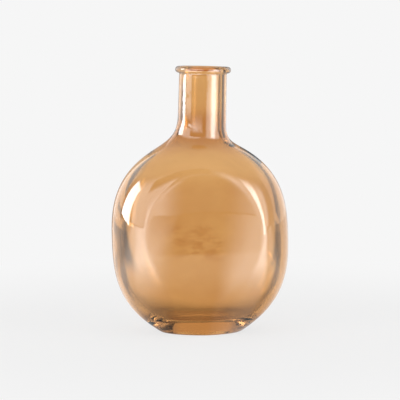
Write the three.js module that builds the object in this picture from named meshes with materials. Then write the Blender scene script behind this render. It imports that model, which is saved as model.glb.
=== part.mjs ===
// A bottle vase of clear amber glass, blown in one piece: a body flattened from front to back,
// a short round neck and a rolled lip.
// Millimetres, +Z up. The origin is on the floor under the middle of the body. The round faces
// look along -Y (the front) and +Y (the back).

import * as THREE from "three";
import { mergeVertices } from "three/addons/utils/BufferGeometryUtils.js";

const { degToRad, clamp, lerp } = THREE.MathUtils;

// Body, as its outline is seen from the front
const BODY_HALF_WIDTH = 91.8;
const BODY_CENTRE_HEIGHT = 99;
const BODY_REACH_UP = 106; // the outline alone would close this far above the centre, inside the neck
const BODY_REACH_DOWN = 115; // and this far below it, under the floor
const BODY_LEAN = degToRad(2.1); // to the left, as hand-blown glass settles

// Squareness of that outline: 2 is an ellipse, less runs straighter and more is squarer
const SIDE_SQUARENESS = 2.45;
const SHOULDER_SQUARENESS = 1.88;
const FLANK_SQUARENESS = 1.7;

// Body from front to back: a round face on each side, nearly flat, and a rolled edge round it
const BODY_HALF_DEPTH = 55;
const FACE_RADIUS = 60.5;
const FACE_CENTRE_HEIGHT = 104.5;
const FACE_DOME = 3; // how far the middle of the face stands out from its rim
const FOOT_DRAW_IN = 0.1; // the share of its depth that the body loses on its way down to the floor

// Softness of that rolled edge: 2 leaves the face smoothly, and less leaves it at a crease
const ROLL_SOFTNESS_ENDS = 2.1;
const ROLL_SOFTNESS_SIDES = 1.25;

// Neck and lip
const NECK_LENGTH = 70.5; // from the crown of the body's outline to the top of the lip
const NECK_ROOT_RADIUS = 25;
const NECK_TOP_RADIUS = 24.4;
const NECK_LEAN = degToRad(1.2); // to the right
const BEND_LENGTH = 60; // the height over which the upright body turns into that lean
const SWEEP_LEFT = 33; // how far the shoulder sweeps up into the neck on each side
const SWEEP_RIGHT = 19.5;
const SWEEP_FACES = 13; // at the front and back the neck stands off the body with a tighter turn
const SWEEP_HOLD = 6; // the larger, the closer the two side sweeps keep to the sides
const LIP_OVERHANG = 4.3; // how far the lip stands out from the neck
const LIP_ROUNDING = 3.4; // half the lip's thickness
const LIP_FILLET = 1.5;

// Glass thickness
const FACE_WALL = 5.5;
const SIDE_WALL = 6.5;
const SHOULDER_WALL = 3.2;
const FLANK_WALL = 9;
const NECK_WALL = 6;
const FLOOR_THICKNESS = 16;
const CAVITY_SHIFT = 0.9; // to the right, so the left side is the thicker

// Foot
const FOOT_ROUNDING = 2;
const FLOOR_ROUNDING = 5;
const REST_RING_WIDTH = 9; // the flat ring that the vase stands on
const PUNT_DEPTH = 2; // the shallow hollow pushed up under the middle
const FLOOR_DOME = 0.5;

// Fineness of the faceted solid
const SEGMENTS = 48;
const BODY_RINGS_BELOW = 11; // below the widest height
const BODY_RINGS_ABOVE = 8;
const SWEEP_RINGS = 9;
const NECK_RINGS = 2;
const FILLET_RINGS = 2;
const LIP_RINGS_OUTSIDE = 7;
const LIP_RINGS_INSIDE = 5;
const UNDER_SHARES = [0, 0.35, 0.7, 1]; // from the middle of the punt to its edge
const FLOOR_SHARES = [0.7, 0.35, 0]; // from the wall to the middle of the floor

// Fineness of the search for each point of the skin
const SOLVE_STEPS = 32;
const ON_THE_SKIN = 1e-7;
const SAME_POINT = 1e-5;
const TINY = 1e-9;

const crownHeight = BODY_CENTRE_HEIGHT + BODY_REACH_UP;
const boreRadius = NECK_TOP_RADIUS - NECK_WALL;
const lipCentreRadius = NECK_TOP_RADIUS + LIP_OVERHANG - LIP_ROUNDING;
const lipCentreHeight = crownHeight + NECK_LENGTH - LIP_ROUNDING;
const sweep = Math.max(SWEEP_LEFT, SWEEP_RIGHT);

// The spine stands upright through the body and bends over evenly into the leaning neck
function spineAt(height) {
  const above = height - BODY_CENTRE_HEIGHT;
  const bent = clamp(above / BEND_LENGTH, 0, 1);
  const straight = Math.max(above - BEND_LENGTH, 0);
  return { tilt: NECK_LEAN * bent, shift: NECK_LEAN * ((BEND_LENGTH * bent ** 2) / 2 + straight) };
}

// A point at an angle round the spine and a distance out from it, square to the spine
function pointAt(height, angle, reach) {
  const { tilt, shift } = spineAt(height);
  const across = reach * Math.cos(angle);
  return new THREE.Vector3(
    shift + across * Math.cos(tilt),
    reach * Math.sin(angle),
    height - across * Math.sin(tilt),
  );
}

// Joins two distances in one surface with a rounded hollow between them
function blend(a, b, width) {
  const near = Math.max(width - Math.abs(a - b), 0) / width;
  return Math.min(a, b) - (near ** 3 * width) / 6;
}

// How far outside the body's skin a point is: negative inside, zero on the skin
function outsideBody(point, skin) {
  const dx = point.x - skin.shift;
  const dz = point.z - BODY_CENTRE_HEIGHT;
  const x = Math.abs(dx * Math.cos(BODY_LEAN) + dz * Math.sin(BODY_LEAN));
  const z = dz * Math.cos(BODY_LEAN) - dx * Math.sin(BODY_LEAN);
  const fromCentre = Math.hypot(x, z) + TINY;
  const level = x / fromCentre;
  const upright = Math.sqrt(1 - level ** 2);
  const halfWidth = BODY_HALF_WIDTH - skin.sideWall;
  const halfHeight = z > 0 ? BODY_REACH_UP - skin.shoulderWall : BODY_REACH_DOWN - skin.flankWall;
  const endSquareness = z > 0 ? SHOULDER_SQUARENESS : FLANK_SQUARENESS;
  const squareness = SIDE_SQUARENESS * level ** 2 + endSquareness * upright ** 2;
  const levelPart = (level / halfWidth) ** squareness;
  const uprightPart = (upright / halfHeight) ** squareness;
  const outline = (levelPart + uprightPart) ** (-1 / squareness);
  const rise = FACE_CENTRE_HEIGHT - BODY_CENTRE_HEIGHT;
  const face = (rise * z) / fromCentre + Math.sqrt(FACE_RADIUS ** 2 - (rise * level) ** 2);
  const roll = Math.max(fromCentre - face, 0) / (outline - face);
  const softness = ROLL_SOFTNESS_SIDES * level ** 2 + ROLL_SOFTNESS_ENDS * upright ** 2;
  const drawnIn = 1 - FOOT_DRAW_IN * (Math.min(dz, 0) / BODY_CENTRE_HEIGHT) ** 2;
  const dome = (FACE_DOME / BODY_HALF_DEPTH) * (fromCentre / FACE_RADIUS) ** 2;
  const depth = Math.abs(point.y) / ((BODY_HALF_DEPTH - skin.faceWall) * (drawnIn - dome));
  return (Math.sqrt(roll ** softness + depth ** 2) - 1) * (outline - face);
}

// The same for the neck, with distances taken square to the spine
function outsideNeck(height, reach, skin) {
  const up = clamp((height - crownHeight) / (lipCentreHeight - crownHeight), 0, 1);
  return reach - (lerp(NECK_ROOT_RADIUS, NECK_TOP_RADIUS, up) - skin.neckWall);
}

// The outer skin has no wall taken off it, and the inner skin has its full thickness
const OUTER = {
  faceWall: 0,
  sideWall: 0,
  shoulderWall: 0,
  flankWall: 0,
  neckWall: 0,
  shift: 0,
  floor: 0,
  rounding: FOOT_ROUNDING,
};
const INNER = {
  faceWall: FACE_WALL,
  sideWall: SIDE_WALL,
  shoulderWall: SHOULDER_WALL,
  flankWall: FLANK_WALL,
  neckWall: NECK_WALL,
  shift: CAVITY_SHIFT,
  floor: FLOOR_THICKNESS,
  rounding: FLOOR_ROUNDING,
};

function outsideSkin(height, angle, reach, skin) {
  const point = pointAt(height, angle, reach);
  const body = outsideBody(point, skin);
  if (height < BODY_CENTRE_HEIGHT) return -blend(-body, height - skin.floor, skin.rounding);
  const turn = Math.cos(angle);
  const sideSweep = lerp(SWEEP_RIGHT, SWEEP_LEFT, (1 - turn) / 2);
  const width = lerp(SWEEP_FACES, sideSweep, turn ** SWEEP_HOLD);
  return blend(body, outsideNeck(height, reach, skin), width);
}

// Halves the span again and again until it closes on the skin
function reachOfSkin(height, angle, skin) {
  let inside = 0;
  let outside = 2 * BODY_HALF_WIDTH;
  for (let step = 0; step < SOLVE_STEPS; step++) {
    const middle = (inside + outside) / 2;
    if (outsideSkin(height, angle, middle, skin) > ON_THE_SKIN) outside = middle;
    else inside = middle;
  }
  return inside;
}

const rising = (from, to, count, ease = (share) => share) =>
  Array.from({ length: count }, (_, i) => lerp(from, to, ease((i + 1) / count)));
const slowStart = (share) => 1 - Math.cos((share * Math.PI) / 2);
const slowEnd = (share) => Math.sin((share * Math.PI) / 2);

// A ring has a height on the spine and a reach at each angle
const roundRing = ({ x, y }) => ({ height: y, reach: () => x });
const skinRing = (skin) => (height) => ({ height, reach: (angle) => reachOfSkin(height, angle, skin) });

// Heights up a skin, closer together where it curves more
function skinHeights(skin) {
  const sweepStart = crownHeight - sweep;
  const sweepEnd = crownHeight + sweep / 2;
  return [
    skin.floor,
    ...rising(skin.floor, BODY_CENTRE_HEIGHT, BODY_RINGS_BELOW, slowStart),
    ...rising(BODY_CENTRE_HEIGHT, sweepStart, BODY_RINGS_ABOVE, slowEnd),
    ...rising(sweepStart, sweepEnd, SWEEP_RINGS),
    ...rising(sweepEnd, lipCentreHeight - 2 * LIP_ROUNDING, NECK_RINGS),
  ];
}

// The underside runs from the hollow's middle to the edge of the flat resting ring
function undersideRings() {
  const footEdge = (angle) => reachOfSkin(OUTER.floor, angle, OUTER);
  const puntEdge = (angle) => footEdge(angle) - REST_RING_WIDTH;
  return UNDER_SHARES.map((share) => ({
    height: PUNT_DEPTH * (1 - share ** 2),
    reach: (angle) => share * puntEdge(angle),
  }));
}

// The inner floor rises a little in the middle
function floorRings() {
  const floorEdge = (angle) => reachOfSkin(INNER.floor, angle, INNER);
  return FLOOR_SHARES.map((share) => ({
    height: FLOOR_THICKNESS + FLOOR_DOME * (1 - share ** 2),
    reach: (angle) => share * floorEdge(angle),
  }));
}

// The lip's section: a small fillet off the neck, round the overhang to the top, and over into
// the bore
function lipRings() {
  const filletCentreRadius = NECK_TOP_RADIUS + LIP_FILLET;
  const across = filletCentreRadius - lipCentreRadius;
  const below = Math.sqrt((LIP_ROUNDING + LIP_FILLET) ** 2 - across ** 2);
  const meeting = Math.atan2(below, -across);
  const arc = (x, y, radius, from, to, clockwise) =>
    new THREE.EllipseCurve(x, lipCentreHeight + y, radius, radius, from, to, clockwise);
  const fillet = arc(filletCentreRadius, -below, LIP_FILLET, Math.PI, meeting, true);
  const outside = arc(lipCentreRadius, 0, LIP_ROUNDING, meeting - Math.PI, Math.PI / 2, false);
  const inside = arc(boreRadius + LIP_ROUNDING, 0, LIP_ROUNDING, Math.PI / 2, Math.PI, false);
  return [
    ...fillet.getPoints(FILLET_RINGS),
    ...outside.getPoints(LIP_RINGS_OUTSIDE).slice(1),
    ...inside.getPoints(LIP_RINGS_INSIDE),
  ].map(roundRing);
}

// One closed wall of glass: under the foot, up the outside, over the lip, down the inside and
// across the floor
function glassBottle() {
  const rings = [
    ...undersideRings(),
    ...skinHeights(OUTER).map(skinRing(OUTER)),
    ...lipRings(),
    ...skinHeights(INNER).reverse().map(skinRing(INNER)),
    ...floorRings(),
  ];
  const profile = rings.map(({ height, reach }) => new THREE.Vector2(reach(0), height));
  const geometry = new THREE.LatheGeometry(profile, SEGMENTS);
  const position = geometry.getAttribute("position");
  for (let i = 0; i < position.count; i++) {
    const ring = rings[i % rings.length];
    const segment = Math.floor(i / rings.length) % SEGMENTS;
    const angle = (2 * Math.PI * segment) / SEGMENTS;
    position.setXYZ(i, ...pointAt(ring.height, angle, ring.reach(angle)));
  }
  geometry.deleteAttribute("normal");
  geometry.deleteAttribute("uv");
  return mergeVertices(geometry, SAME_POINT);
}

const amberGlass = new THREE.MeshStandardMaterial({
  color: 0xc98f57,
  roughness: 0.04,
  metalness: 0,
  transparent: true,
  opacity: 0.5,
});

const bottle = new THREE.Mesh(glassBottle(), amberGlass);
bottle.name = "glass_bottle";

const vase = new THREE.Group();
vase.add(bottle);

export default vase;
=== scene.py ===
# %% [markdown]
# # A bottle vase of amber glass
#
# The vase is blown in one piece: a body flattened from front to back, a short round neck and a
# rolled lip. There is only one solid to dress, so the lesson is about three things: a smooth
# double-walled glass shape, a believable glass, and the lights that draw bright and dark lines
# in it. The scene is in metres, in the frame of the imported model.

import math

import bpy
import numpy as np
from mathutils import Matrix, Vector, noise


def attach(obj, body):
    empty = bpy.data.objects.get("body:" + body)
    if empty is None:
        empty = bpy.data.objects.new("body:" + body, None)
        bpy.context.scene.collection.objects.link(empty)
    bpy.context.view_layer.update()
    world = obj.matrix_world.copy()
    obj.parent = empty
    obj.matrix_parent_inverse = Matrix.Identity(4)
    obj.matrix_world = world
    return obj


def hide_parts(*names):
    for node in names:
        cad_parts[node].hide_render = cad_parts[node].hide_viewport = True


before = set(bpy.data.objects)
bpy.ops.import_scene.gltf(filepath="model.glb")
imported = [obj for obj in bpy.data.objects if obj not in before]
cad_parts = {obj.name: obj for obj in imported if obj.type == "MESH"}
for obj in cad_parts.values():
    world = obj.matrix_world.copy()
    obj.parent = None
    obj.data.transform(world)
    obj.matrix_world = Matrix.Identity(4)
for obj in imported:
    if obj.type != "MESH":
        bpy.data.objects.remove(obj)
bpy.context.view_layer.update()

# %% [markdown]
# ## The camera
#
# The photograph looks at the front from about five degrees to the left and five degrees above.
# A long lens from a little under two metres away gives the same flat perspective. The camera
# comes first, because everything after it is judged through it.

# %% Camera
LENS = 168.4
SENSOR_WIDTH = 36
CAMERA_PLACE = (-0.1849, -1.9211, 0.3225)
CAMERA_AIM = Vector((-0.00015, 0.0, 0.1373))

camera_data = bpy.data.cameras.new("camera")
camera_data.lens = LENS
camera_data.sensor_width = SENSOR_WIDTH
camera = bpy.data.objects.new("camera", camera_data)
bpy.context.scene.collection.objects.link(camera)
camera.location = CAMERA_PLACE
camera.rotation_euler = (CAMERA_AIM - camera.location).to_track_quat("-Z", "Y").to_euler()
bpy.context.scene.camera = camera
bpy.context.scene.view_settings.view_transform = "Standard"
print("camera", round((CAMERA_AIM - camera.location).length, 3), "m from the vase")

# %% [markdown]
# ## The measures of the vase
#
# These are the maker's measures in millimetres, the same as the solid's. Only the half width is
# a little less, so that these finer rings stay inside the solid's box. The body's outline is an
# oval whose squareness changes as it goes round: squarer at the sides, straighter over the
# shoulders and flanks. Front and back are round, slightly domed faces with a rolled edge.

# %% Measures of the body
MM = 0.001
BODY_HALF_WIDTH = 91.65
BODY_CENTRE_HEIGHT = 99
BODY_REACH_UP = 106
BODY_REACH_DOWN = 115
BODY_LEAN = math.radians(2.1)
SIDE_SQUARENESS = 2.45
SHOULDER_SQUARENESS = 1.88
FLANK_SQUARENESS = 1.7
BODY_HALF_DEPTH = 55
FACE_RADIUS = 60.5
FACE_CENTRE_HEIGHT = 104.5
FACE_DOME = 3
ROLL_SOFTNESS_ENDS = 2.1
ROLL_SOFTNESS_SIDES = 1.25
FOOT_DRAW_IN = 0.1
FOOT_ROUNDING = 2
REST_RING_WIDTH = 9
PUNT_DEPTH = 2
CROWN = BODY_CENTRE_HEIGHT + BODY_REACH_UP
print("crown at", CROWN, "mm")

# %% [markdown]
# ## The neck, the lip and the walls
#
# The neck leans a little to the right. Its root sweeps out into the shoulders, wider on the
# left than on the right, and turns tightest at the front and back. The wall is thin at the
# shoulders and thick at the flanks and the floor, where the gather of glass settles.

# %% Measures of the neck and the walls
NECK_LENGTH = 70.5
NECK_ROOT_RADIUS = 25
NECK_TOP_RADIUS = 24.4
NECK_LEAN = math.radians(1.2)
BEND_LENGTH = 60
SWEEP_LEFT = 33
SWEEP_RIGHT = 19.5
SWEEP_FACES = 13
SWEEP_HOLD = 6
LIP_OVERHANG = 4.3
LIP_ROUNDING = 3.4
LIP_FILLET = 1.5

FACE_WALL = 5.5
SIDE_WALL = 6.5
SHOULDER_WALL = 3.2
FLANK_WALL = 9
NECK_WALL = 6
CAVITY_SHIFT = 0.9
FLOOR_THICKNESS = 16
FLOOR_ROUNDING = 5
FLOOR_DOME = 0.5

LIP_CENTRE_RADIUS = NECK_TOP_RADIUS + LIP_OVERHANG - LIP_ROUNDING
LIP_CENTRE_HEIGHT = CROWN + NECK_LENGTH - LIP_ROUNDING
print("top of the lip at", CROWN + NECK_LENGTH, "mm")

# %% [markdown]
# ## The skins of the body
#
# A glass wall is two skins, one outside and one inside, with the wall's thickness between them.
# It could be modelled by pulling points by hand, but that leaves ripples, and glass magnifies
# them. So a formula describes each skin: it is zero on the skin, below zero within it and above
# zero outside. The inner skin is the same formula with the walls taken off its measures.

# %% Skins of the body
TINY = 1e-9


def outside_body(x, y, z, inner):
    share = 1 if inner else 0
    dx = x - share * CAVITY_SHIFT
    dz = z - BODY_CENTRE_HEIGHT
    along = np.abs(dx * math.cos(BODY_LEAN) + dz * math.sin(BODY_LEAN))
    up = dz * math.cos(BODY_LEAN) - dx * math.sin(BODY_LEAN)
    from_centre = np.hypot(along, up) + TINY
    level = along / from_centre
    upright = np.sqrt(1 - level**2)
    half_width = BODY_HALF_WIDTH - share * SIDE_WALL
    reach_up = BODY_REACH_UP - share * SHOULDER_WALL
    reach_down = BODY_REACH_DOWN - share * FLANK_WALL
    half_height = np.where(up > 0, reach_up, reach_down)
    ends = np.where(up > 0, SHOULDER_SQUARENESS, FLANK_SQUARENESS)
    squareness = SIDE_SQUARENESS * level**2 + ends * upright**2
    outline = (level / half_width) ** squareness + (upright / half_height) ** squareness
    outline = outline ** (-1 / squareness)
    rise = FACE_CENTRE_HEIGHT - BODY_CENTRE_HEIGHT
    face = rise * up / from_centre + np.sqrt(FACE_RADIUS**2 - (rise * level) ** 2)
    roll = np.maximum(from_centre - face, 0) / (outline - face)
    drawn_in = 1 - FOOT_DRAW_IN * (np.minimum(dz, 0) / BODY_CENTRE_HEIGHT) ** 2
    drawn_in = drawn_in - FACE_DOME / BODY_HALF_DEPTH * (from_centre / FACE_RADIUS) ** 2
    depth = np.abs(y) / ((BODY_HALF_DEPTH - share * FACE_WALL) * drawn_in)
    softness = ROLL_SOFTNESS_SIDES * level**2 + ROLL_SOFTNESS_ENDS * upright**2
    return (np.sqrt(roll**softness + depth**2) - 1) * (outline - face)


face_middle = float(outside_body(0, -BODY_HALF_DEPTH, BODY_CENTRE_HEIGHT, False))
print("the middle of the front face is", round(face_middle, 3), "mm off the skin")

# %% [markdown]
# ## The whole skin, and finding it
#
# Rings of points are laid at heights along a spine that bends over into the leaning neck. Body
# and neck melt into one surface over the width of the sweep. A ring's reach at an angle can't be
# worked out directly, so the search between the spine and a point far outside is halved again
# and again until it closes on the skin.

# %% Whole skin
HALVINGS = 40
ON_THE_SKIN = 1e-7


def spine(height):
    above = height - BODY_CENTRE_HEIGHT
    bent = np.clip(above / BEND_LENGTH, 0, 1)
    straight = np.maximum(above - BEND_LENGTH, 0)
    return NECK_LEAN * bent, NECK_LEAN * (BEND_LENGTH * bent**2 / 2 + straight)


def point_at(height, angle, reach):
    tilt, shift = spine(height)
    across = reach * np.cos(angle)
    return shift + across * np.cos(tilt), reach * np.sin(angle), height - across * np.sin(tilt)


def melted(a, b, width):
    near = np.maximum(width - np.abs(a - b), 0) / width
    return np.minimum(a, b) - near**3 * width / 6


def outside_skin(height, angle, reach, inner):
    body = outside_body(*point_at(height, angle, reach), inner)
    floor = FLOOR_THICKNESS if inner else 0
    rounding = FLOOR_ROUNDING if inner else FOOT_ROUNDING
    up = np.clip((height - CROWN) / (LIP_CENTRE_HEIGHT - CROWN), 0, 1)
    neck_radius = NECK_ROOT_RADIUS + (NECK_TOP_RADIUS - NECK_ROOT_RADIUS) * up
    neck = reach - neck_radius + (NECK_WALL if inner else 0)
    sweep = SWEEP_RIGHT + (SWEEP_LEFT - SWEEP_RIGHT) * (1 - np.cos(angle)) / 2
    sweep = SWEEP_FACES + (sweep - SWEEP_FACES) * np.cos(angle) ** SWEEP_HOLD
    low = -melted(-body, height - floor, rounding)
    return np.where(height < BODY_CENTRE_HEIGHT, low, melted(body, neck, sweep))


def reach_of_skin(height, angle, inner):
    inside = np.zeros(np.broadcast(height, angle).shape)
    outside = inside + 2 * BODY_HALF_WIDTH
    for _ in range(HALVINGS):
        middle = (inside + outside) / 2
        is_out = outside_skin(height, angle, middle, inner) > ON_THE_SKIN
        outside = np.where(is_out, middle, outside)
        inside = np.where(is_out, inside, middle)
    return inside


widest = reach_of_skin(BODY_CENTRE_HEIGHT, math.pi, False)
print("reach to the left at the centre", round(float(widest), 2), "mm")

# %% [markdown]
# ## Rings for the skins and the floors
#
# One row of rings goes all the way round the glass: under the foot, up the outside, over the
# lip, down the inside and across the floor. The rings lie closer where the glass turns faster,
# most of all at the foot. A shallow hollow under the foot and a slightly domed disc on the
# inner floor close the two ends.

# %% Rings of the skins
SEGMENTS = 192
FOOT_RINGS = 66
FOOT_CROWDING = 2.2
SHOULDER_RINGS = 32
NECK_RINGS = 46
SWEEP_DEPTH = 30
LIP_ROOM = 7
PAD_RINGS = 14
REST_RING_SHARES = (0.8, 0.6, 0.4, 0.2)
angles = np.arange(SEGMENTS + 1) * 2 * math.pi / SEGMENTS


def skin_rows(inner):
    low = FLOOR_THICKNESS if inner else 0
    sweep_start = CROWN - SWEEP_DEPTH
    crowded = np.linspace(0, 1, FOOT_RINGS) ** FOOT_CROWDING
    foot = low + (BODY_CENTRE_HEIGHT - low) * crowded
    shoulder = np.linspace(BODY_CENTRE_HEIGHT, sweep_start, SHOULDER_RINGS)[1:]
    neck = np.linspace(sweep_start, LIP_CENTRE_HEIGHT - LIP_ROOM, NECK_RINGS)[1:]
    heights = np.concatenate([foot, shoulder, neck])[:, None]
    return heights + 0 * angles, reach_of_skin(heights, angles, inner)


def pad_rows(shares, edge, middle, edge_height):
    reach = shares[:, None] * edge
    return edge_height + (middle - edge_height) * (1 - shares[:, None] ** 2) + 0 * reach, reach


outer = skin_rows(False)
inner = skin_rows(True)
print(len(outer[0]), "rings on each skin")

# %% [markdown]
# ## Rings over the lip
#
# The lip was rolled outwards while the glass was soft. Seen in section it is a small fillet out
# of the neck, half a circle and a rounding into the bore, with a short flat on top. Each arc
# leaves in the direction in which the next one starts, so the roll has no crease.

# %% Rings of the lip
FILLET_STEPS = 6
ROLL_STEPS = 18
MOUTH_STEPS = 12


def lip_rows():
    fillet_radius = NECK_TOP_RADIUS + LIP_FILLET
    bore_radius = NECK_TOP_RADIUS - NECK_WALL
    across = fillet_radius - LIP_CENTRE_RADIUS
    below = math.sqrt((LIP_ROUNDING + LIP_FILLET) ** 2 - across**2)
    meeting = math.atan2(below, -across)
    fillet = np.linspace(math.pi, meeting, FILLET_STEPS)[:-1]
    roll = np.linspace(meeting - math.pi, math.pi / 2, ROLL_STEPS)
    mouth = np.linspace(math.pi / 2, math.pi, MOUTH_STEPS)
    arcs = [
        (fillet_radius, -below, LIP_FILLET, fillet),
        (LIP_CENTRE_RADIUS, 0, LIP_ROUNDING, roll),
        (bore_radius + LIP_ROUNDING, 0, LIP_ROUNDING, mouth),
    ]
    reach = np.concatenate([centre + size * np.cos(turn) for centre, _, size, turn in arcs])
    rise = np.concatenate([low + size * np.sin(turn) for _, low, size, turn in arcs])
    height = LIP_CENTRE_HEIGHT + rise
    return height[:, None] + 0 * angles, reach[:, None] + 0 * angles


foot_edge = reach_of_skin(np.float64(0), angles, False)
floor_edge = reach_of_skin(np.float64(FLOOR_THICKNESS), angles, True)
shares = np.linspace(0, 1, PAD_RINGS)
rest_ring = foot_edge - REST_RING_WIDTH * np.array(REST_RING_SHARES)[:, None]
outer_rows = [
    pad_rows(shares, foot_edge - REST_RING_WIDTH, PUNT_DEPTH, 0),
    (0 * rest_ring, rest_ring),
    outer,
    lip_rows(),
]
inner_rows = [
    (inner[0][::-1], inner[1][::-1]),
    pad_rows(shares[-2::-1], floor_edge, FLOOR_THICKNESS + FLOOR_DOME, FLOOR_THICKNESS),
]
first_inner = sum(len(height) for height, reach in outer_rows)
heights = np.concatenate([height for height, reach in outer_rows + inner_rows])
reaches = np.concatenate([reach for height, reach in outer_rows + inner_rows])
print(len(heights), "rings of", SEGMENTS, "points")

# %% [markdown]
# ## Uneven walls
#
# Hand-blown glass isn't even. A slow noise makes the wall swell and thin from place to place.
# It moves the inner skin only, so the outline stays as it is, and it fades out at the middle of
# the floor and under the lip, where the rings have to meet cleanly.

# %% Uneven inner skin
SWELLING = 0.5
SWELLING_SIZE = 42
SWELLING_SEED = 7.3
FLOOR_EVEN_TO = 15
FLOOR_FADE = 10
LIP_EVEN_FROM = 262
LIP_FADE = 12


def unevenness(x, y, z, size, seed):
    points = np.stack([x, y, z], -1).reshape(-1, 3) / size
    values = [noise.noise(Vector(point) + Vector((seed, 0, 0))) for point in points]
    return np.array(values).reshape(x.shape)


x, y, z = point_at(heights[first_inner:], angles, reaches[first_inner:])
swelling = unevenness(x, y, z, SWELLING_SIZE, SWELLING_SEED)
off_axis = np.clip((reaches[first_inner:] - FLOOR_EVEN_TO) / FLOOR_FADE, 0, 1)
off_lip = np.clip((LIP_EVEN_FROM - heights[first_inner:]) / LIP_FADE, 0, 1)
swelling = SWELLING * swelling * off_axis * off_lip
reaches[first_inner:] += swelling
print("walls vary by", round(float(swelling.min()), 2), "to", round(float(swelling.max()), 2), "mm")

# %% [markdown]
# ## Wrapping a sheet into the bottle
#
# A flat grid has just the faces that are needed, in the right order. Its points are put on the
# rings, and merging the points that meet closes the seam and both poles. Each point also keeps
# a mark, 1 on the outer skin and the lip and 0 on the inner skin, which the glass reads for its
# tint.

# %% Bottle
SHEET_SIZE = 0.3
MERGE_DISTANCE = 2e-6


def deselect():
    for thing in bpy.context.selected_objects:
        thing.select_set(False)


deselect()
bpy.ops.mesh.primitive_grid_add(
    x_subdivisions=SEGMENTS, y_subdivisions=len(heights) - 1, size=SHEET_SIZE,
)
vase = bpy.context.object
vase.name = vase.data.name = "glass_vase"
points = np.stack(point_at(heights, angles, reaches), -1) * MM
vase.data.vertices.foreach_set("co", points.astype(np.float32).ravel())
stain = vase.data.attributes.new("stain", "FLOAT", "POINT")
stained = np.ones(heights.shape)
stained[first_inner:] = 0
stain.data.foreach_set("value", stained.astype(np.float32).ravel())
vase.data.update()
bpy.ops.object.mode_set(mode="EDIT")
bpy.ops.mesh.select_all(action="SELECT")
bpy.ops.mesh.remove_doubles(threshold=MERGE_DISTANCE)
bpy.ops.mesh.normals_make_consistent(inside=False)
bpy.ops.object.mode_set(mode="OBJECT")
bpy.ops.object.shade_smooth()
print(vase.name, len(vase.data.vertices), "points,", len(vase.data.polygons), "faces")

# %% [markdown]
# ## Nodes written as sums
#
# Materials are easier to read as sums than as a web of wires. A Value wraps the output of a
# node, and the plain signs of arithmetic add the Math nodes. Every other node comes from add,
# which takes its type, its settings and the values or links of its sockets.

# %% Node helpers
class Value:
    def __init__(self, nodes, socket):
        self.nodes = nodes
        self.socket = socket

    def joined(self, operation, first, second):
        return self.nodes.add("ShaderNodeMath", {"operation": operation}, {0: first, 1: second})

    def __add__(self, other):
        return self.joined("ADD", self, other)

    def __radd__(self, other):
        return self.joined("ADD", other, self)

    def __sub__(self, other):
        return self.joined("SUBTRACT", self, other)

    def __rsub__(self, other):
        return self.joined("SUBTRACT", other, self)

    def __mul__(self, other):
        return self.joined("MULTIPLY", self, other)

    def __rmul__(self, other):
        return self.joined("MULTIPLY", other, self)

    def __truediv__(self, other):
        return self.joined("DIVIDE", self, other)

    def __rtruediv__(self, other):
        return self.joined("DIVIDE", other, self)

    def __pow__(self, other):
        return self.joined("POWER", self, other)

    def __rpow__(self, other):
        return self.joined("POWER", other, self)

    def __abs__(self):
        return self.joined("ABSOLUTE", self, 0.0)


class Nodes:
    def __init__(self, owner):
        owner.use_nodes = True
        self.tree = owner.node_tree
        self.tree.nodes.clear()

    def add(self, kind, settings=None, inputs=None, output=0):
        node = self.tree.nodes.new(kind)
        for name, value in (settings or {}).items():
            setattr(node, name, value)
        for name, value in (inputs or {}).items():
            if isinstance(value, Value):
                self.tree.links.new(value.socket, node.inputs[name])
            else:
                node.inputs[name].default_value = value
        return Value(self, node.outputs[output]) if node.outputs else None


print("node helpers ready")

# %% [markdown]
# ## Fades, mixes and places
#
# Nearly every pattern here is a soft step: a value that turns from one level to another over a
# short span. These helpers name the steps, the larger and smaller of two values, the mix of two
# colours and a place's three coordinates, so that the patterns below read as sentences.

# %% Pattern helpers
def fade(value, span, start, end):
    low, high = span
    return value.nodes.add(
        "ShaderNodeMapRange", {"interpolation_type": "SMOOTHSTEP"},
        {"Value": value, "From Min": low, "From Max": high, "To Min": start, "To Max": end},
    )


def larger(first, second):
    return first.joined("MAXIMUM", first, second)


def smaller(first, second):
    return first.joined("MINIMUM", first, second)


def colour_mix(factor, first, second):
    return factor.nodes.add(
        "ShaderNodeMix", {"data_type": "RGBA"},
        {"Factor": factor, "A": first, "B": second}, output="Result",
    )


def coordinates(place):
    return [place.nodes.add("ShaderNodeSeparateXYZ", {}, {0: place}, output=axis) for axis in range(3)]


print("pattern helpers ready")

# %% [markdown]
# ## Amber glass: its colour
#
# In the real glass the colour is in the whole thickness, and it gathers where the glass is
# thick. A tint on the outer skin is simpler than a coloured volume, and each place can have the
# depth that it needs: a look through the vase crosses it twice, and the inner skin is nearly
# clear. The tint is deeper at the neck's root and at the foot. Over the belly it is deeper too,
# partly for the thick flanks and partly as painted shade, and above the belly it pales into
# painted light, as if the upper body caught light from above. A slow noise clouds it, and a
# flattened one draws a mottled band of painted shade across the lower middle.

# %% Amber of the outer skin
PALE_AMBER = (0.775, 0.415, 0.14, 1)
DEEP_AMBER = (0.555, 0.226, 0.056, 1)
ROOT_DEEPENS = (0.18, 0.203)
NECK_PALES = (0.215, 0.24)
NECK_SHARE = 0.3
BELLY_PAINTED_LIGHT_ABOVE = (0.15, 0.17)
BELLY_DEPTH_AND_SHADE = 0.5
FOOT_PALES = (0.008, 0.026)
FOOT_SHARE = 0.6
CLOUDS = {"Scale": 16.0, "Detail": 4.0, "Roughness": 0.6}
CLOUD_SHARE = 1.2
NOISE_MIDDLE = 0.5
SHADE_MOTTLE = {"Scale": 38.0, "Detail": 5.0, "Roughness": 0.65}
SHADE_MOTTLE_FLATNESS = (1.0, 1.0, 2.2)
SHADE_MOTTLE_SHOW = (0.42, 0.62)
SHADE_MOTTLE_SHARE = 0.7
SHADE_BAND_STARTS = (0.078, 0.086)
SHADE_BAND_ENDS = (0.1, 0.11)
SHADE_BAND_SHIFT = 0.004
SHADE_BAND_NARROWS = (0.012, 0.034)

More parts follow.
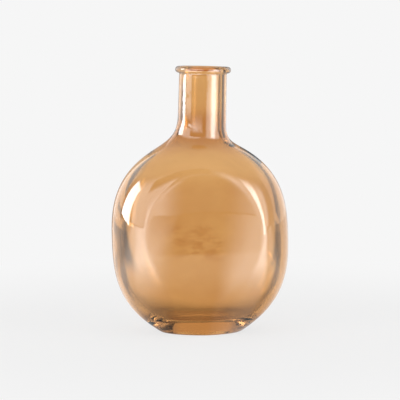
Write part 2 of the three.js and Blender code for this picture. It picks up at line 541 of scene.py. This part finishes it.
glass = bpy.data.materials.new("amber_glass")
nodes = Nodes(glass)
place = nodes.add("ShaderNodeTexCoord", output="Object")
side, depth, height = coordinates(place)
cloud = nodes.add("ShaderNodeTexNoise", {}, {"Vector": place, **CLOUDS})
root = fade(height, ROOT_DEEPENS, 0, 1) * fade(height, NECK_PALES, 1, NECK_SHARE)
# Deeper over the belly for the thick flanks and as painted shade; paler above it as painted light.
belly_depth_and_shade = fade(height, BELLY_PAINTED_LIGHT_ABOVE, BELLY_DEPTH_AND_SHADE, 0)
foot = fade(height, FOOT_PALES, FOOT_SHARE, 0)
# A mottled band of painted shade darkens the lower middle of the belly.
flattened = nodes.add("ShaderNodeMapping", {}, {"Vector": place, "Scale": SHADE_MOTTLE_FLATNESS})
shade_mottle = nodes.add("ShaderNodeTexNoise", {}, {"Vector": flattened, **SHADE_MOTTLE})
shade_band = fade(height, SHADE_BAND_STARTS, 0, 1) * fade(height, SHADE_BAND_ENDS, 1, 0)
shade_band = shade_band * fade(abs(side + SHADE_BAND_SHIFT), SHADE_BAND_NARROWS, 1, 0)
deep = root + belly_depth_and_shade + foot + CLOUD_SHARE * (cloud - NOISE_MIDDLE)
deep = deep + shade_band * fade(shade_mottle, SHADE_MOTTLE_SHOW, 0, SHADE_MOTTLE_SHARE)
amber = colour_mix(deep, PALE_AMBER, DEEP_AMBER)
print("amber from", PALE_AMBER[:3], "to", DEEP_AMBER[:3])

# %% [markdown]
# ## Amber glass: the foot and the inner floor
#
# Thick glass at the two ends of the foot looks nearly brown. Both skins get a brown tint there,
# partly for that thickness and partly as painted shade that damps bright glints at the ends.
# The inner floor shows through the body as a darker oblong, which is painted shade, the shadow
# under the foot seen through the floor. It gets its tint within a rounded oblong, which a sum of
# powers of the two distances draws without a picture.

# %% Dark foot and inner floor
THICK_AND_SHADED_BROWN = (0.24, 0.115, 0.05, 1)
CORNER_SPAN = (0.022, 0.034)
ENDS_DEPTH_AND_SHADE = 0.9
CORNER_PALES = (0.01, 0.021)
FLOOR_SHADE_BROWN = (0.42, 0.22, 0.1, 1)
POOL_SHIFT = 0.0013
POOL_HALF_LENGTH = 0.035714
POOL_HALF_WIDTH = 0.027027
POOL_END_SQUARENESS = 4.0
POOL_SIDE_SQUARENESS = 2.0
POOL_EDGE = (0.9, 1.05)
POOL_HEIGHT = (0.019, 0.021)
CLEAR_INSIDE = (0.99, 0.985, 0.98, 1)

# Brown at the foot's ends: thick glass, and painted shade over bright glints.
thick_and_shaded_ends = fade(abs(side), CORNER_SPAN, 0, ENDS_DEPTH_AND_SHADE) * fade(height, CORNER_PALES, 1, 0)
amber = colour_mix(thick_and_shaded_ends, amber, THICK_AND_SHADED_BROWN)
outer_skin = nodes.add("ShaderNodeAttribute", {"attribute_name": "stain"}, output="Fac")
# The inner floor's darker oblong is painted shade, the shadow under the foot seen through it.
oblong = abs((side + POOL_SHIFT) / POOL_HALF_LENGTH) ** POOL_END_SQUARENESS
oblong = oblong + abs(depth / POOL_HALF_WIDTH) ** POOL_SIDE_SQUARENESS
floor_shade_oblong = fade(oblong, POOL_EDGE, 1, 0) * fade(height, POOL_HEIGHT, 1, 0) * (1 - outer_skin)
inside = colour_mix(larger(floor_shade_oblong, thick_and_shaded_ends * (1 - outer_skin)), CLEAR_INSIDE, FLOOR_SHADE_BROWN)
colour = colour_mix(outer_skin, inside, amber)
print("inner floor oblong", round(2 * POOL_HALF_LENGTH, 3), "by", round(2 * POOL_HALF_WIDTH, 3), "m")

# %% [markdown]
# ## Amber glass: its surface
#
# Blown glass is smooth but never true. A slow wave bends the reflections, a fine one breaks
# them up a little, and below the lip the tool that rolled it leaves a collar of ripples. The
# edge of the inner floor stands out a little too. All of it is a bump, because the shape itself
# has to stay true to the solid.

# %% Surface of the glass
WAVES = {"Scale": 22.0, "Detail": 1.0}
RIPPLES = {"Scale": 130.0, "Detail": 2.0}
FINE_WAVES = {"Scale": 60.0, "Detail": 2.0}
COLLAR_STARTS = (0.243, 0.252)
COLLAR_ENDS = (0.262, 0.268)
RIPPLE_SHARE = 0.35
POOL_SHARE = 0.4
FINE_SHARE = 0.12
RELIEF = {"Strength": 0.2, "Distance": 0.001}
POLISH = {"Roughness": 0.015, "IOR": 1.5, "Transmission Weight": 1.0}

wave = nodes.add("ShaderNodeTexNoise", {}, {"Vector": place, **WAVES})
ripple = nodes.add("ShaderNodeTexNoise", {}, {"Vector": place, **RIPPLES})
fine = nodes.add("ShaderNodeTexNoise", {}, {"Vector": place, **FINE_WAVES})
collar = fade(height, COLLAR_STARTS, 0, 1) * fade(height, COLLAR_ENDS, 1, 0)
relief = wave + collar * ripple * RIPPLE_SHARE + POOL_SHARE * floor_shade_oblong + FINE_SHARE * fine
bump = nodes.add("ShaderNodeBump", {}, {"Height": relief, **RELIEF})
surface = nodes.add(
    "ShaderNodeBsdfPrincipled", {}, {"Base Color": colour, "Normal": bump, **POLISH},
)
nodes.add("ShaderNodeOutputMaterial", {}, {"Surface": surface})
vase.data.materials.append(glass)
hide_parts("glass_bottle")
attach(vase, "root")
print(glass.name, "on", vase.name)

# %% [markdown]
# ## The backdrop
#
# The backdrop is the world itself, one pale grey. It lights the matt floor a little less than
# it shows to the camera and in the glass. Light crosses many skins before it leaves a glass
# vessel, so it is given more bounces than usual.

# %% Backdrop
BACKDROP_LEVEL = 0.922
BACKDROP = (BACKDROP_LEVEL, BACKDROP_LEVEL, BACKDROP_LEVEL, 1)
BACKDROP_LIGHT = 0.75
BOUNCES = 32


def light_path(nodes, kind):
    return nodes.add("ShaderNodeLightPath", output=kind)


def clear_ray(nodes):
    seen = larger(light_path(nodes, "Is Camera Ray"), light_path(nodes, "Is Glossy Ray"))
    return larger(seen, light_path(nodes, "Is Transmission Ray"))


world = bpy.data.worlds.new("studio")
bpy.context.scene.world = world
bpy.context.scene.cycles.max_bounces = BOUNCES
bpy.context.scene.cycles.transmission_bounces = BOUNCES
bpy.context.scene.cycles.glossy_bounces = BOUNCES
nodes = Nodes(world)
strength = BACKDROP_LIGHT + (1 - BACKDROP_LIGHT) * clear_ray(nodes)
sky = nodes.add("ShaderNodeBackground", {}, {"Color": BACKDROP, "Strength": strength})
nodes.add("ShaderNodeOutputWorld", {}, {"Surface": sky})
print("backdrop at", BACKDROP_LEVEL)

# %% [markdown]
# ## The floor
#
# A wide pale disc carries the vase. It lies just under the resting ring, so that the two
# surfaces never meet. Its material is built in three steps: what the glass mirrors of it, what
# a look through the glass shows of it, and the plain floor with its soft shadow.

# %% Floor disc
FLOOR_RADIUS = 60
FLOOR_SIDES = 64
FLOOR_DROP = 0.0002

deselect()
bpy.ops.mesh.primitive_circle_add(
    vertices=FLOOR_SIDES, radius=FLOOR_RADIUS, fill_type="NGON", location=(0, 0, -FLOOR_DROP),
)
floor = bpy.context.object
floor.name = "floor"
bpy.ops.object.transform_apply(location=True, rotation=False, scale=False)
floor_material = bpy.data.materials.new("pale_floor")
nodes = Nodes(floor_material)
spot = nodes.add("ShaderNodeTexCoord", output="Object")
away = nodes.add("ShaderNodeVectorMath", {"operation": "LENGTH"}, {0: spot}, output=1)
across, back = coordinates(spot)[:2]
print(floor.name, "reaches", FLOOR_RADIUS, "m out")

# %% [markdown]
# ## The floor as the glass mirrors it
#
# In a photographer's studio the table in front of the vase is lit from two sides and dark in
# the middle, and the belly of the vase mirrors that. Lamps for this would also light the glass
# itself, so only mirrored rays see the pattern. It depends on the direction in which a spot
# lies, seen from the vase: dark along the mirrored line of sight, rising to the left and right.

# %% Mirrored floor
MIRROR_LINE = 0.09
NEAREST = 0.02
LEFT_RISES = (((-0.32, -0.05), 5.0), ((-0.9, -0.3), 4.0), ((-9.0, -1.2), -4.5))
LEFT_STOPS = (-0.12, -0.03)
RIGHT_RISES = (((0.06, 0.26), 4.5), ((0.2, 0.9), 5.5), ((1.2, 4.0), -8.0))
MIDDLE_LEVEL = 0.1
MIDDLE_ENDS = (0.45, 0.55)
TABLE_STARTS = (0.06, 0.3)
TABLE_FOOT_LEVEL = 0.1
TABLE_ENDS = (11.6, 11.9)
FRONT_ENDS = (-0.1, 0.15)
BEHIND_LEVEL = 0.45
BESIDE_SLOPE = 0.42
BESIDE_STARTS = (-0.05, 0.15)
BESIDE_TURNS = (-0.1, 0.1)
BESIDE_LEFT_LEVEL = 1.6
BESIDE_RIGHT_LEVEL = 0.9

forward = larger(0 - back, NEAREST)
turned = (across - MIRROR_LINE * forward) / forward
left_side = sum(fade(turned, span, level, 0) for span, level in LEFT_RISES)
left_side = left_side * fade(across, LEFT_STOPS, 1, 0)
right_side = sum(fade(turned, span, 0, level) for span, level in RIGHT_RISES)
middle = MIDDLE_LEVEL + (1 - MIDDLE_LEVEL) * fade(forward, MIDDLE_ENDS, 1, 0)
table = fade(away, TABLE_STARTS, TABLE_FOOT_LEVEL, 1) * fade(away, TABLE_ENDS, 1, 0)
in_front = table * (middle + left_side + right_side)
beside = fade(abs(across) - BESIDE_SLOPE * back, BESIDE_STARTS, 0, 1)
beside_level = fade(across, BESIDE_TURNS, BESIDE_LEFT_LEVEL, BESIDE_RIGHT_LEVEL)
behind = BEHIND_LEVEL + beside * beside_level
mirrored = behind + (in_front - behind) * fade(back, FRONT_ENDS, 1, 0)
print("mirrored table ends at", TABLE_ENDS[1], "m")

# %% [markdown]
# ## The floor as the glass shows it from within
#
# The dark lines inside the outline are painted shade: the thick edge of the glass bends floor
# far to the sides into view, and there two stretches of floor behind the vase, one close to the
# foot and one further out, are darkened for the rays that pass through the glass only. Close
# under the foot these rays see the floor darker as well, a painted shadow of the vase.

# %% Floor through the glass
UNDER_SHADOW_SPAN = (0.05, 0.2)
UNDER_SHADOW_LEVEL = 0.5
NEAR_SLOPE = 0.5
NEAR_SIDES = (0.045, 0.08)
NEAR_DARKNESS = 0.8
NEAR_BEHIND = (0.03, 0.09)
NEAR_ENDS = (0.4, 0.6)
SIGHT_LINE = 0.1
FAR_SIDES = (0.3, 0.42)
FAR_DARKNESS = 0.85
FAR_STARTS = (0.3, 0.5)
FAR_ENDS = (1.5, 1.8)
FAR_SLOPE = 0.3
FAR_BEHIND = (0.0, 0.1)
FAR_TURNS = (-0.1, 0.1)
FAR_RIGHT_SHARE = 0.85

# Two stretches of floor behind the vase, darkened as painted shade for rays through the glass.
near_painted_shade = fade(abs(across) - NEAR_SLOPE * back, NEAR_SIDES, 0, NEAR_DARKNESS)
near_painted_shade = near_painted_shade * fade(back, NEAR_BEHIND, 0, 1) * fade(away, NEAR_ENDS, 1, 0)
sideways = abs(across - SIGHT_LINE * back) / larger(back, NEAREST)
far_painted_shade = fade(sideways, FAR_SIDES, 0, FAR_DARKNESS) * fade(away, FAR_STARTS, 0, 1)
far_painted_shade = far_painted_shade * fade(back - FAR_SLOPE * abs(across), FAR_BEHIND, 0, 1)
far_painted_shade = far_painted_shade * fade(away, FAR_ENDS, 1, 0) * fade(across, FAR_TURNS, 1, FAR_RIGHT_SHARE)
# Close under the foot the floor is darkened too, a painted shadow seen through the glass.
painted_shade_beneath = fade(away, UNDER_SHADOW_SPAN, UNDER_SHADOW_LEVEL, 1) * (1 - near_painted_shade) * (1 - far_painted_shade)
print("dark stretches end at", FAR_ENDS[1], "m")

# %% [markdown]
# ## The plain floor
#
# To the camera the floor glows as the backdrop does, so that no horizon shows. Close to the
# vase a matt white takes a share, and it carries the soft shadow. A ray that passes through
# glass counts as glossy as well, so a mirrored ray is a glossy one that hasn't passed through.

# %% Floor material
FLOOR_WHITE = (0.85, 0.85, 0.85, 1)
SHADOW_ENDS = (0.2, 0.6)
GLOW_NEAR = 0.8

through = light_path(nodes, "Is Transmission Ray")
mirror_ray = light_path(nodes, "Is Glossy Ray") * (1 - through)
# Mirrored rays see the painted reflection of the table, rays through the glass its painted shade.
seen = light_path(nodes, "Is Camera Ray") + mirror_ray * mirrored + through * painted_shade_beneath
matt = nodes.add("ShaderNodeBsdfDiffuse", {}, {"Color": FLOOR_WHITE})
glow = nodes.add("ShaderNodeEmission", {}, {"Color": seen * BACKDROP_LEVEL})
amount = fade(away, SHADOW_ENDS, GLOW_NEAR, 1) * clear_ray(nodes)
amount = larger(amount, larger(through, mirror_ray))
mixed = nodes.add("ShaderNodeMixShader", {}, {0: amount, 1: matt, 2: glow})
nodes.add("ShaderNodeOutputMaterial", {}, {"Surface": mixed})
floor.data.materials.append(floor_material)
print(floor_material.name, "on", floor.name)

# %% [markdown]
# ## Two soft lights
#
# Two large soft lights stand left and right in front of the vase and lay its shadow on the
# floor. They are hidden from the glass, because the cards below draw the lines in it.

# %% Lights
LIGHT_AIM = Vector((0, 0, 0.15))
LIGHT_DISTANCE = 2.4
LIGHT_HEIGHT = 1.4
LIGHT_SIZE = 1.2
LIGHT_LEVEL = 2.5
LIGHT_TURN = 55


def around(degrees, distance, height):
    turn = math.radians(-90 + degrees)
    return (distance * math.cos(turn), distance * math.sin(turn), height)


def soft_light(name, degrees):
    data = bpy.data.lights.new(name, "AREA")
    data.shape = "RECTANGLE"
    data.size = LIGHT_SIZE
    data.size_y = LIGHT_SIZE
    data.energy = LIGHT_LEVEL * math.pi * LIGHT_SIZE**2
    light = bpy.data.objects.new(name, data)
    bpy.context.scene.collection.objects.link(light)
    light.location = around(degrees, LIGHT_DISTANCE, LIGHT_HEIGHT)
    light.rotation_euler = (LIGHT_AIM - light.location).to_track_quat("-Z", "Y").to_euler()
    light.visible_camera = False
    light.visible_glossy = False
    light.visible_transmission = False


soft_light("left_light", -LIGHT_TURN)
soft_light("right_light", LIGHT_TURN)
print("two lights at", LIGHT_DISTANCE, "m")

# %% [markdown]
# ## Cards
#
# Photographers of glass draw its lines with white and black cards. A card here is a glowing
# sheet that the camera and matt surfaces don't see. It is seen either by mirrored rays or by
# rays that pass through the glass, so each line can be set by itself. Its turn is in degrees
# round the vase, with 0 in front and 90 on the right. Its edges can be soft over a share of its
# size: the two sides, the bottom and the top. A sharp edge still fades over a tiny span, because
# the fade divides by its span.

# %% Card helpers
SHARP = 1e-4


def card_paint(name, level, soft):
    paint = bpy.data.materials.new(name)
    nodes = Nodes(paint)
    sides, bottom, top = soft
    glow = nodes.add("ShaderNodeEmission", {}, {"Color": (level, level, level, 1)})
    over, up = coordinates(nodes.add("ShaderNodeTexCoord", output="UV"))[:2]
    solid = fade(smaller(over, 1 - over), (0, sides + SHARP), 0, 1)
    solid = fade(up, (0, bottom + SHARP), 0, 1) * solid
    solid = fade(1 - up, (0, top + SHARP), 0, 1) * solid
    clear = nodes.add("ShaderNodeBsdfTransparent")
    mixed = nodes.add("ShaderNodeMixShader", {}, {0: solid, 1: clear, 2: glow})
    nodes.add("ShaderNodeOutputMaterial", {}, {"Surface": mixed})
    return paint


def card(name, turn, distance, height, level, soft=(0, 0, 0), rays="mirrored", lean=0):
    first, last = turn
    low, high = height
    middle = (first + last) / 2
    width = 2 * distance * math.tan(math.radians((last - first) / 2))
    deselect()
    bpy.ops.mesh.primitive_plane_add(
        size=1, location=around(middle, distance, (low + high) / 2),
        rotation=(math.pi / 2, math.radians(lean), math.radians(middle)),
    )
    sheet = bpy.context.object
    sheet.name = name
    sheet.scale = (width, high - low, 1)
    bpy.ops.object.transform_apply(location=False, rotation=False, scale=True)
    sheet.data.materials.append(card_paint(name, level, soft))
    sheet.visible_camera = False
    sheet.visible_diffuse = False
    sheet.visible_shadow = False
    sheet.visible_glossy = rays == "mirrored"
    sheet.visible_transmission = rays == "through"


print("card helpers ready")

# %% [markdown]
# ## Cards in front
#
# A wide dark card far behind the camera keeps the upper middle of the belly calm. A pale column
# draws the soft patch high on the left of the belly. The small flag stands close to the neck, so
# that the neck's middle mirrors it while the body, further down, shows only a curve of it.

# %% Cards in front
card("dark_front", turn=(-20, 30), distance=40, height=(0, 12), level=0.3, soft=(0.1, 0, 0.3))
card("left_column", turn=(-20, 1), distance=12.5, height=(0, 4), level=4.5, soft=(0.3, 0, 0.6))
card("neck_flag", turn=(-60, 12), distance=0.16, height=(0.2, 0.272), level=0.3, soft=(0.1, 0.4, 0.05))
print("cards in front ready")

# %% [markdown]
# ## Cards on the left
#
# A large softbox makes the broad sheen of the upper left, and its brighter heart adds a soft
# line within it. The leaning strip draws the bright mark on the rolled edge. Strip and softbox
# together make the left bar in the neck. Two more strips stand in nearly the same direction for
# the rays that pass through: they lay faint pale lines inside the mark, in the neck and inside
# the edge at the lower right.

# %% Cards on the left
card("left_softbox", turn=(-92, -9), distance=12, height=(0, 14), level=4.6, soft=(0.06, 0.01, 0.5))
card("left_heart", turn=(-68, -10), distance=11.95, height=(0, 5.5), level=7.5, soft=(0.4, 0, 0.85))
card(
    "left_strip", turn=(-111, -89), distance=2, height=(0.1, 1.5),
    level=17, soft=(0.08, 0, 0.15), lean=16,
)
card(
    "left_strip_within", turn=(-113, -92), distance=2, height=(0.24, 1.5),
    level=5, soft=(0.08, 0.02, 0.15), rays="through",
)
card(
    "left_bar_within", turn=(-116, -96), distance=2, height=(0.1, 0.2),
    level=13, soft=(0.08, 0.05, 0.3), rays="through",
)
print("cards on the left ready")

# %% [markdown]
# ## Cards on the right
#
# The right side has the same kinds: a softbox for the sheen of the upper right, a strip for the
# long curved line inside the edge and for the right bar in the neck, and a strip for the rays
# that pass through, which lays faint pale lines in the neck and inside the edge at the lower
# left. The sheen of the lower half, on both sides, is the mirrored floor.

# %% Cards on the right
card("right_softbox", turn=(10, 88), distance=12, height=(0, 10), level=5, soft=(0.2, 0, 0.5))
card("right_strip", turn=(34, 64), distance=1.3, height=(0, 1.1), level=17, soft=(0.3, 0, 0.5))
card(
    "right_strip_within", turn=(34, 62), distance=1.3, height=(0.08, 1.1),
    level=5, soft=(0.35, 0, 0.5), rays="through",
)
print("cards on the right ready")

# %% [markdown]
# ## Cards behind
#
# Glass mirrors what stands behind it along its very edge. Two pale cards there put a sheen on
# the shoulders and the sides of the neck, and two dim ones next to them draw the thin dark line
# along the outline. The flags are seen through the glass only. They give the dark curves just
# inside the upper edges, the dark lines in the neck and some of the dark at the foot's ends.

# %% Cards behind
card("left_back", turn=(-158, -118), distance=3, height=(0, 3), level=2.4, soft=(0.05, 0, 0.4))
card("right_back", turn=(96, 156), distance=3, height=(0, 3), level=1.8, soft=(0.1, 0, 0.4))
card("left_outline", turn=(-178, -158), distance=3, height=(0, 3), level=0.5, soft=(0.05, 0, 0.4))
card("right_outline", turn=(156, 176), distance=3, height=(0, 3), level=0.3, soft=(0.05, 0, 0.4))
card("left_flag", turn=(-158, -127), distance=2.6, height=(0.5, 1.6), level=0.12, rays="through")
card(
    "left_neck_flag", turn=(-158, -127), distance=2.6, height=(0.06, 0.23),
    level=0.25, soft=(0.05, 0.1, 0.2), rays="through",
)
card("right_flag", turn=(127, 153), distance=2.6, height=(0, 1.6), level=0.12, rays="through")
print("cards behind ready")
